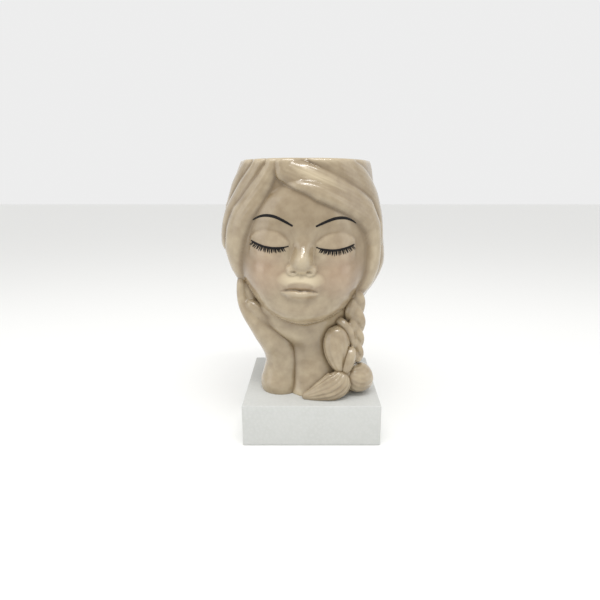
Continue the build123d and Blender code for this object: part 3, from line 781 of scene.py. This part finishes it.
def tintAndLightHead(skin, points, outside):
    u, v = toFace(points[:, 0], points[:, 2])
    side = np.abs(u)
    blush = dome(side, v, tints["cheekBlush"], 1.0) + dome(side, v, tints["lidBlush"], 1.0)
    blush += dome(u, v, tints["lipBlush"], 1.0)
    blush = np.where(outside & (points[:, 1] < tints["blushFrom"]), np.clip(blush, 0, 1), 0)
    writeLayer(skin.data, "blush", blush)

    # painted highlights: paler over the pad of the upper lip, the lower lip, the nose and a streak on the
    # fringe, taken back off the down-facing upper lip
    paintedHighlights = dome(u, v, tints["padHighlight"], 0.9) - dome(u, v, tints["upperLipShade"], 0.8)
    paintedHighlights += dome(u, v, tints["noseHighlight"], 1.0) + dome(u, v, tints["lowerLipHighlight"], 1.0)
    tilt = math.radians(tints["streakTilt"])
    right, up = u - tints["streakAt"][0], v - tints["streakAt"][1]
    along = right * math.cos(tilt) + up * math.sin(tilt)
    across = up * math.cos(tilt) - right * math.sin(tilt)
    lineDeep, lineTurn = tints["streakLines"]
    paintedHighlights += dome(along, across, tints["highlightStreak"], 0.8) * (1 - lineDeep + lineDeep * np.cos(across * lineTurn))
    writeLayer(skin.data, "ridge", np.clip(paintedHighlights, 0, 1) * (outside & (points[:, 1] < tints["paleFrom"])))

    # painted shade in the browner pooled colour on the hair and up the forehead, most between the rolls
    def growing(values, start, over):
        return ease((values - start) / over)

    # thick is the mask of this painted shade, kept off the painted highlight on the crown
    thick = np.maximum(growing(v, *tints["aboveBrow"]), growing(side, *tints["besideFace"]))
    thick *= growing(points[:, 2], *tints["aboveJaw"])
    thick *= 1 - dome(u, v, tints["highlitCrown"], 1.0)
    hollow = np.clip(hollowness(skin.data, poolingAndShade["broadRounds"]), -1, 1)
    paintedHairShade = tints["hairShade"] + tints["rollShade"] * hollow
    poolAndShade = readLayer(skin.data, "poolAndShade") + np.where(outside, paintedHairShade * thick, 0)
    writeLayer(skin.data, "poolAndShade", np.clip(poolAndShade, -1, 1))


def buildHead():
    rows = headRows()
    bm, rowOf, spun = spunGrid(len(rows), head["steps"], closed=True)
    points, kinds = headPoints(rows, rowOf.astype(int), spun)
    moveVerts(bm, points)
    skin = addPiece("headShell", bm, glaze, "planter", ("head_shell",))
    markPoolsAndShade(skin, poolingAndShade["onHead"])
    tintAndLightHead(skin, points, kinds == "outer")
    return skin


headShell = buildHead()
print("stage 3: head modelled,", len(headShell.data.polygons), "faces")


# Rounded forms laid along a path: the arm, the fingers, the strands of hair and the painted strokes

def tubeForm(stations, rows, steps, out=(0, -1, 0), ridges=0, depth=0.0, fade=(0.0, 0.0), twist=0.0):
    # stations: x, y, z, half width, half thickness, and where given the way its outside faces
    stations = np.array(stations, float)
    if stations.shape[1] == 5:
        stations = np.column_stack([stations, np.tile(out, (len(stations), 1))])
    gaps = np.linalg.norm(np.diff(stations[:, :3], axis=0), axis=1)
    along = np.concatenate([[0.0], np.cumsum(gaps)])
    table = np.column_stack([along, stations])
    bm, row, angle = spunGrid(rows, steps)
    s = along[-1] * (1 - np.cos(np.pi * row / (rows - 1))) / 2
    values = smoothRows(table, s)
    centre, wide, thick, outward = values[:3].T, values[3], values[4], values[5:8].T
    step = along[-1] * 0.004  # a short way ahead and behind, to find where the path points
    ahead = (smoothRows(table, s + step)[:3] - smoothRows(table, s - step)[:3]).T
    ahead /= np.linalg.norm(ahead, axis=1)[:, None]
    outward = outward - (outward * ahead).sum(axis=1)[:, None] * ahead
    outward /= np.linalg.norm(outward, axis=1)[:, None]
    side = np.cross(ahead, outward)
    startCap = np.clip(s / max(stations[0, 3:5].min(), 1e-6), 0, 1)
    endCap = np.clip((along[-1] - s) / max(stations[-1, 3:5].min(), 1e-6), 0, 1)
    size = np.sqrt(startCap * (2 - startCap)) * np.sqrt(endCap * (2 - endCap))
    if ridges:
        gone = s / along[-1]
        strength = ease(gone / max(fade[0], 1e-6)) * ease((1 - gone) / max(fade[1], 1e-6))
        turn = ridges * (angle + twist * s / along[-1]) / 2
        size = size * (1 - depth * strength * (1 - np.abs(np.cos(turn)) ** 0.8))
    points = centre + size[:, None] * (side * (wide * np.sin(angle))[:, None]
                                       + outward * (thick * np.cos(angle))[:, None])
    moveVerts(bm, points)
    return bm


def cutLevel(bm, level):
    # a flat foot where a form stands on the block
    geometry = bm.verts[:] + bm.edges[:] + bm.faces[:]
    bmesh.ops.bisect_plane(bm, geom=geometry, plane_co=(0, 0, level), plane_no=(0, 0, 1), clear_inner=True)
    bmesh.ops.holes_fill(bm, edges=[edge for edge in bm.edges if edge.is_boundary], sides=0)


def addClay(name, forms, look, replaced):
    fused = fuseForms(forms, look["voxel"], look["smoothing"])
    if look.get("stands"):
        cutLevel(fused, head["foot"])
    piece = addPiece(name, fused, glaze, "planter", replaced)
    markPoolsAndShade(piece, poolingAndShade["onForms"])
    return piece


# The raised arm: a forearm that stands on the block, a palm, and four fingers up the side of the head
arm = {
    "forearm": ((-28.5, -15.4, 26, 21.7, 24.3), (-28.5, -15.8, 37, 21.2, 24),
                (-26.3, -15.5, 50, 19, 19.5), (-25, -16, 64, 17.5, 17.3), (-28, -17.5, 76, 16.4, 16.5),
                (-33.5, -20, 86, 15, 16), (-40.8, -21.5, 95, 13.2, 14.5), (-47.8, -22.5, 103, 10.4, 12.9),
                (-54, -22.5, 110.5, 8.4, 11), (-59.2, -20.5, 118, 6.5, 9), (-61.6, -19, 126, 5.4, 8.5),
                (-61.6, -18, 135, 5.2, 8), (-61.5, -16.5, 143, 4.2, 6.6)),
    "palm": ((-39.5, -14, 84, 13, 8), (-47.3, -9, 97, 18, 9), (-53, -6, 107, 20, 8),
             (-58.2, -4, 115, 17, 6)),
    "thumb": ((-29, -26, 99, 8, 6), (-36, -28.5, 105.5, 7.6, 6), (-42, -30, 111, 6.8, 5.8),
              (-48, -29.8, 115.8, 6, 5.5), (-53, -28.3, 119.5, 4.8, 4.8), (-55.8, -27, 122, 3, 3.5)),
    "web": ((-49, -21, 117, 7, 7), (-53, -21, 126, 6, 6), (-55.5, -20.5, 134, 4.6, 5),
            (-56.5, -20, 140, 3, 4)),
    "fingers": (((-55.5, -10, 104, 7, 7), (-61, -9.5, 116, 6.4, 6.4), (-62.4, -8.5, 127, 5.9, 5.9),
                 (-62.6, -7, 138, 5.2, 5.2), (-61.5, -6, 146, 4, 4)),
                ((-54, 1, 102, 7, 7), (-60, 2, 114, 6.3, 6.3), (-62.5, 3.5, 125, 5.8, 5.8),
                 (-62.8, 5, 135, 5.1, 5.1), (-61.5, 5.5, 143, 3.8, 3.8)),
                ((-50, 11, 100, 6.4, 6.4), (-57, 13, 111, 5.7, 5.7), (-60, 14.5, 120, 5.1, 5.1),
                 (-60.6, 16, 128, 4.5, 4.5), (-59.5, 16.5, 135, 3.5, 3.5))),
    "voxel": 1.0, "smoothing": 4, "stands": True,
}
armForms = [
    tubeForm(arm["forearm"], 70, 48),
    tubeForm(arm["palm"], 30, 32, out=(-1, 0, 0)),
    tubeForm(arm["thumb"], 30, 28, out=(-0.3, -1, 0.5)),
    tubeForm(arm["web"], 24, 24),
]
armForms += [tubeForm(finger, 40, 24, out=(-1, 0, 0)) for finger in arm["fingers"]]
forearmAndHand = addClay("forearmAndHand", armForms, arm, ("forearm_and_hand",))
print("stage 4: arm and hand,", len(forearmAndHand.data.polygons), "faces")

# The plait and what hangs from it
plait = {
    "spine": ((37, -22, 133), (38.4, -24, 120), (39.2, -25.5, 106), (40, -27, 94), (41, -28, 84),
              (41, -29.5, 75), (40.8, -31, 67)),
    "strands": 3, "sway": 4.6, "weave": 3.2, "turns": 1.45, "half": (5.2, 4.6), "core": 5.6,
    "narrowing": 0.36, "narrowFrom": 0.25, "narrowOver": 0.5, "stations": 30,
    "combs": {"ridges": 6, "depth": 0.08, "fade": (0.1, 0.1)},
    "endCombs": {"ridges": 9, "depth": 0.1, "fade": (0.3, 0.1)},
    "end": ((36, -33, 81, 3.5, 4), (34.6, -37, 77, 5, 5), (32.6, -40.5, 69.5, 5.2, 5.2),
            (30.2, -41.5, 62.5, 4, 4), (29.5, -41, 59, 3, 3)),
    "loop": ((20, -18, 107, 3, 3), (24, -26, 104.5, 4, 4), (29, -30, 100.5, 4.6, 4.4),
             (33.2, -31.5, 94.5, 4.6, 4.2), (35.5, -31, 87, 3.8, 3.6), (37, -30, 79, 2.5, 2.5)),
    "voxel": 0.6, "smoothing": 2,
}


def plaitForms(look):
    spine = np.array(look["spine"], float)
    table = np.column_stack([np.linspace(0, 1, len(spine)), spine])
    t = np.linspace(0, 1, look["stations"])
    x, y, z = smoothRows(table, t)
    size = 1 - look["narrowing"] * ease((t - look["narrowFrom"]) / look["narrowOver"])
    forms = [tubeForm(np.column_stack([x, y, z, look["core"] * size, look["core"] * size]), 40, 24)]
    for strand in range(look["strands"]):
        turn = 2 * np.pi * (look["turns"] * t + strand / look["strands"])
        swayed, woven = look["sway"] * np.sin(turn) * size, look["weave"] * np.sin(2 * turn) * size
        path = [x + swayed, y - woven, z, look["half"][0] * size, look["half"][1] * size]
        forms.append(tubeForm(np.column_stack(path), 100, 24, **look["combs"]))
    forms.append(tubeForm(look["end"], 40, 30, **look["endCombs"]))
    forms.append(tubeForm(look["loop"], 50, 20, **look["combs"]))
    return forms


plaitedBraid = addClay("plaitedBraid", plaitForms(plait), plait, ("braid",))


# Single combed strands: stations, rows and steps of the grid, then how the comb lines run
lock = {
    "stations": ((22.8, -29.5, 100.5, 4, 4), (22.6, -30.5, 97, 8, 7.5), (22.4, -32, 90, 11.3, 10),
                 (22.2, -33.5, 82, 11.8, 11), (22.6, -35.5, 74, 10.2, 10.5), (24, -38, 66.5, 7, 8),
                 (27, -40.5, 59.5, 3.2, 4)),
    "grid": (80, 66), "combs": {"ridges": 10, "depth": 0.1, "fade": (0.7, 0.08), "twist": 0.5},
    "voxel": 0.6, "smoothing": 2,
}
tie = {
    "stations": ((29.5, -36.5, 59.8, 5.6, 5.6), (31, -39, 57, 5.9, 5.9), (32.6, -41.4, 54.4, 5.2, 5.2)),
    "grid": (30, 40), "combs": {"ridges": 12, "depth": 0.06, "fade": (0.2, 0.2)},
    "voxel": 0.5, "smoothing": 2,
}
tassel = {
    "stations": ((29.5, -39.5, 60.5, 4.2, 4.2), (27.5, -41.2, 57.5, 8, 6.8), (24.5, -42.5, 52.5, 11.6, 9),
                 (17.5, -43.2, 47, 12, 9.6), (8, -43.4, 43, 9.2, 8.2), (-1, -43.8, 40.2, 5.4, 5.6),
                 (-8.5, -44, 38.6, 2.4, 2.6)),
    "grid": (90, 120), "combs": {"ridges": 15, "depth": 0.13, "fade": (0.12, 0.15), "out": (0.1, -1, 0.25)},
    "voxel": 0.5, "smoothing": 1, "stands": True,
}
curl = {
    "stations": ((30.5, -40, 58, 4, 4), (34.5, -37.5, 56, 9, 8.5), (39.5, -33.5, 53, 13.2, 12.8),
                 (44.5, -28.5, 51.4, 13.8, 13), (49, -24, 51.4, 11.4, 10.5), (53, -20.5, 52, 5, 5)),
    "grid": (60, 60), "combs": {"ridges": 14, "depth": 0.08, "fade": (0.05, 0.9), "twist": 0.6},
    "voxel": 0.6, "smoothing": 2, "stands": True,
}


def addStrand(name, look, replaced):
    return addClay(name, [tubeForm(look["stations"], *look["grid"], **look["combs"])], look, replaced)


hairLock = addStrand("hairLock", lock, ("hair_lock",))
braidTie = addStrand("braidTie", tie, ("braid_tie",))
braidTassel = addStrand("braidTassel", tassel, ("braid_tassel",))
hairCurl = addStrand("hairCurl", curl, ("hair_curl",))
markCreasePoolsAndShade([headShell, forearmAndHand, plaitedBraid, hairLock, braidTie, braidTassel, hairCurl])
print("stage 5: plait, lock, tie, tassel and curl")


# Brows and lashes: enamel strokes laid on the skin, each point found by a level ray from the front

skinTree = BVHTree.FromPolygons([vertex.co / metre for vertex in headShell.data.vertices],
                                [polygon.vertices for polygon in headShell.data.polygons])


def onFace(u, v, proud):
    x, z = fromFace(u, v)
    spot, normal, _, _ = skinTree.ray_cast(Vector((x, -150, z)), Vector((0, 1, 0)))
    return spot + normal * proud, normal


def strokeForm(places, proud, thick, rows, steps):
    # places: u, v and half width of the stroke
    stations = []
    for u, v, half in places:
        spot, normal = onFace(u, v, proud)
        stations.append((*spot, half, min(thick, half), *normal))
    return tubeForm(stations, rows, steps)


strokes = {
    "brow": ((9.4, 29.3, 0.75), (14, 31.6, 1.0), (19, 33.9, 1.12), (24, 35.7, 1.18), (29, 36.4, 1.18),
             (34, 36.0, 1.08), (38.8, 34.3, 0.85), (43, 31.8, 0.35)),
    "browProud": 0.05, "browThick": 0.4, "rightBrowIn": 0.7,
    "lineHalf": 0.95, "lineUnder": 0.2, "lineProud": 0.1, "lineThick": 0.5, "lineFrom": -0.97, "lineTo": 0.9,
    "lashes": 27, "lashFrom": -0.72, "lashTo": 0.8, "lashLong": 5.2, "lashHalf": 0.43, "lashProud": 0.12,
    "lashThick": 0.3, "lashTaper": ((0.0, 1.1), (0.35, 1.0), (0.7, 0.75), (1.0, 0.22)), "lashCurl": 0.35,
    "leans": (4, 26, 12, 5),  # degrees: all lashes, growing outwards, the outer ones again, lash to lash
    "innerShorter": 0.35, "uneven": 0.2,
}


def lashForms(side):
    # the lash line along the edge of the lid, then the lashes, which splay outwards
    line = []
    eyeAt = face["eyeAt"] - (face["rightEyeIn"] if side > 0 else 0)
    for s in np.linspace(strokes["lineFrom"], strokes["lineTo"], 15):
        share = (0.45 + 0.55 * ease((s + 0.95) / 0.5)) * (1 - 0.4 * ease((s - 0.7) / 0.2))
        level = lashLevel(s) - strokes["lineUnder"]
        line.append((side * (eyeAt + face["eyeHalf"] * s), level, strokes["lineHalf"] * share))
    forms = [strokeForm(line, strokes["lineProud"], strokes["lineThick"], 60, 10)]
    start, growing, outer, wander = strokes["leans"]
    for index, s in enumerate(np.linspace(strokes["lashFrom"], strokes["lashTo"], strokes["lashes"])):
        u, v = eyeAt + face["eyeHalf"] * s, lashLevel(s)
        lean = math.radians(start + growing * s + outer * max(s, 0) ** 2 + wander * math.sin(index * 2.3))
        long = strokes["lashLong"] * (1 - strokes["innerShorter"] * max(-s, 0))
        long *= 1 - strokes["uneven"] * (index * 0.37 % 1)
        places = []
        for t, share in strokes["lashTaper"]:
            bend = lean + strokes["lashCurl"] * t * s
            across = side * (u + long * t * math.sin(bend))
            places.append((across, v - long * t * math.cos(bend), strokes["lashHalf"] * share))
        forms.append(strokeForm(places, strokes["lashProud"], strokes["lashThick"], 14, 8))
    return forms


for name, side in (("Left", -1), ("Right", 1)):
    inward = strokes["rightBrowIn"] if side > 0 else 0
    browPlaces = [(side * (u - inward), v + 0.4 * inward, half) for u, v, half in strokes["brow"]]
    brow = strokeForm(browPlaces, strokes["browProud"], strokes["browThick"], 60, 12)
    addPiece("brow" + name, brow, enamel, "planter")
    addPiece("lashes" + name, joinForms(lashForms(side)), enamel, "planter")
print("stage 6: brows and lashes")


# The block under the planter, with edges softened by its paint
block = {"side": 120.0, "high": 37.0, "edge": 0.9, "edgeSteps": 4}
blockForm = bmesh.new()
bmesh.ops.create_cube(blockForm, size=1.0)
bmesh.ops.scale(blockForm, vec=(block["side"], block["side"], block["high"]), verts=blockForm.verts)
bmesh.ops.translate(blockForm, vec=(0, 0, block["high"] / 2), verts=blockForm.verts)
bmesh.ops.bevel(blockForm, geom=blockForm.edges[:], offset=block["edge"], segments=block["edgeSteps"],
                profile=0.5, affect="EDGES", material=-1)
addPiece("plinthBlock", blockForm, plaster, "plinth", ("plinth_block",))


# Camera, floor and light: the camera's place in millimetres, the floor's size and drop in metres

view = {
    "at": (-2.34, -431.19, 219.15), "pitch": 13.42, "lens": 28.28, "shiftX": -0.0147,
    "sensor": 36.0, "floorSize": 12.0, "floorDrop": 0.0002, "paper": "#F4F4F2",
    "sky": "#FFFFFF", "skyPower": 0.85,
}
camera = bpy.data.objects.new("camera", bpy.data.cameras.new("camera"))
bpy.context.scene.collection.objects.link(camera)
camera.data.sensor_width = view["sensor"]
camera.data.lens = view["lens"]
camera.data.shift_x = view["shiftX"]
camera.location = Vector(view["at"]) * metre
camera.rotation_euler = (math.radians(90 - view["pitch"]), 0, 0)
bpy.context.scene.camera = camera


def addSoftbox(name, at, aimAt, size, power):
    light = bpy.data.lights.new(name, "AREA")
    light.shape = "RECTANGLE"
    light.size, light.size_y = size
    light.energy = power
    lamp = bpy.data.objects.new(name, light)
    bpy.context.scene.collection.objects.link(lamp)
    lamp.location = at
    lamp.rotation_euler = (Vector(aimAt) - Vector(at)).to_track_quat("-Z", "Y").to_euler()


# White lamps in metres and watts: place, the point it aims at, size and power
softboxes = {
    "keyBox": ((-0.14, -0.45, 1.05), (0, 0, 0.15), (0.9, 0.35), 2.8),
    "leftBox": ((-0.95, -0.30, 0.45), (0, 0, 0.15), (0.5, 0.9), 1.2),
    "rightBox": ((0.95, -0.30, 0.45), (0, 0, 0.15), (0.5, 0.9), 0.9),
    "stripBox": ((0.10, -0.36, 0.92), (0, -0.02, 0.2), (0.6, 0.07), 2.0),
}
for name, (at, aimAt, size, power) in softboxes.items():
    addSoftbox(name, at, aimAt, size, power)


def addFloor(side, colour):
    # one pale sheet of matt paper under everything
    material, tree = newMaterial("palePaper")
    paper = addNode(tree, "ShaderNodeBsdfPrincipled", {"Base Color": toLinear(colour), "Roughness": 0.9})
    finishMaterial(tree, paper)
    form = bmesh.new()
    bmesh.ops.create_grid(form, x_segments=1, y_segments=1, size=side / 2)
    mesh = bpy.data.meshes.new("floor")
    form.to_mesh(mesh)
    form.free()
    mesh.materials.append(material)
    floor = bpy.data.objects.new("floor", mesh)
    floor.location.z = -view["floorDrop"]
    bpy.context.scene.collection.objects.link(floor)


addFloor(view["floorSize"], view["paper"])

world = bpy.data.worlds.new("studio")
world.use_nodes = True
sky = world.node_tree.nodes["Background"].inputs
sky["Color"].default_value = toLinear(view["sky"])
sky["Strength"].default_value = view["skyPower"]
bpy.context.scene.world = world
bpy.context.scene.view_settings.view_transform = "Standard"

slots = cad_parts["drain_stopper"].data.materials
slots.clear()
slots.append(rubber)
print("stage 7: camera and light set")
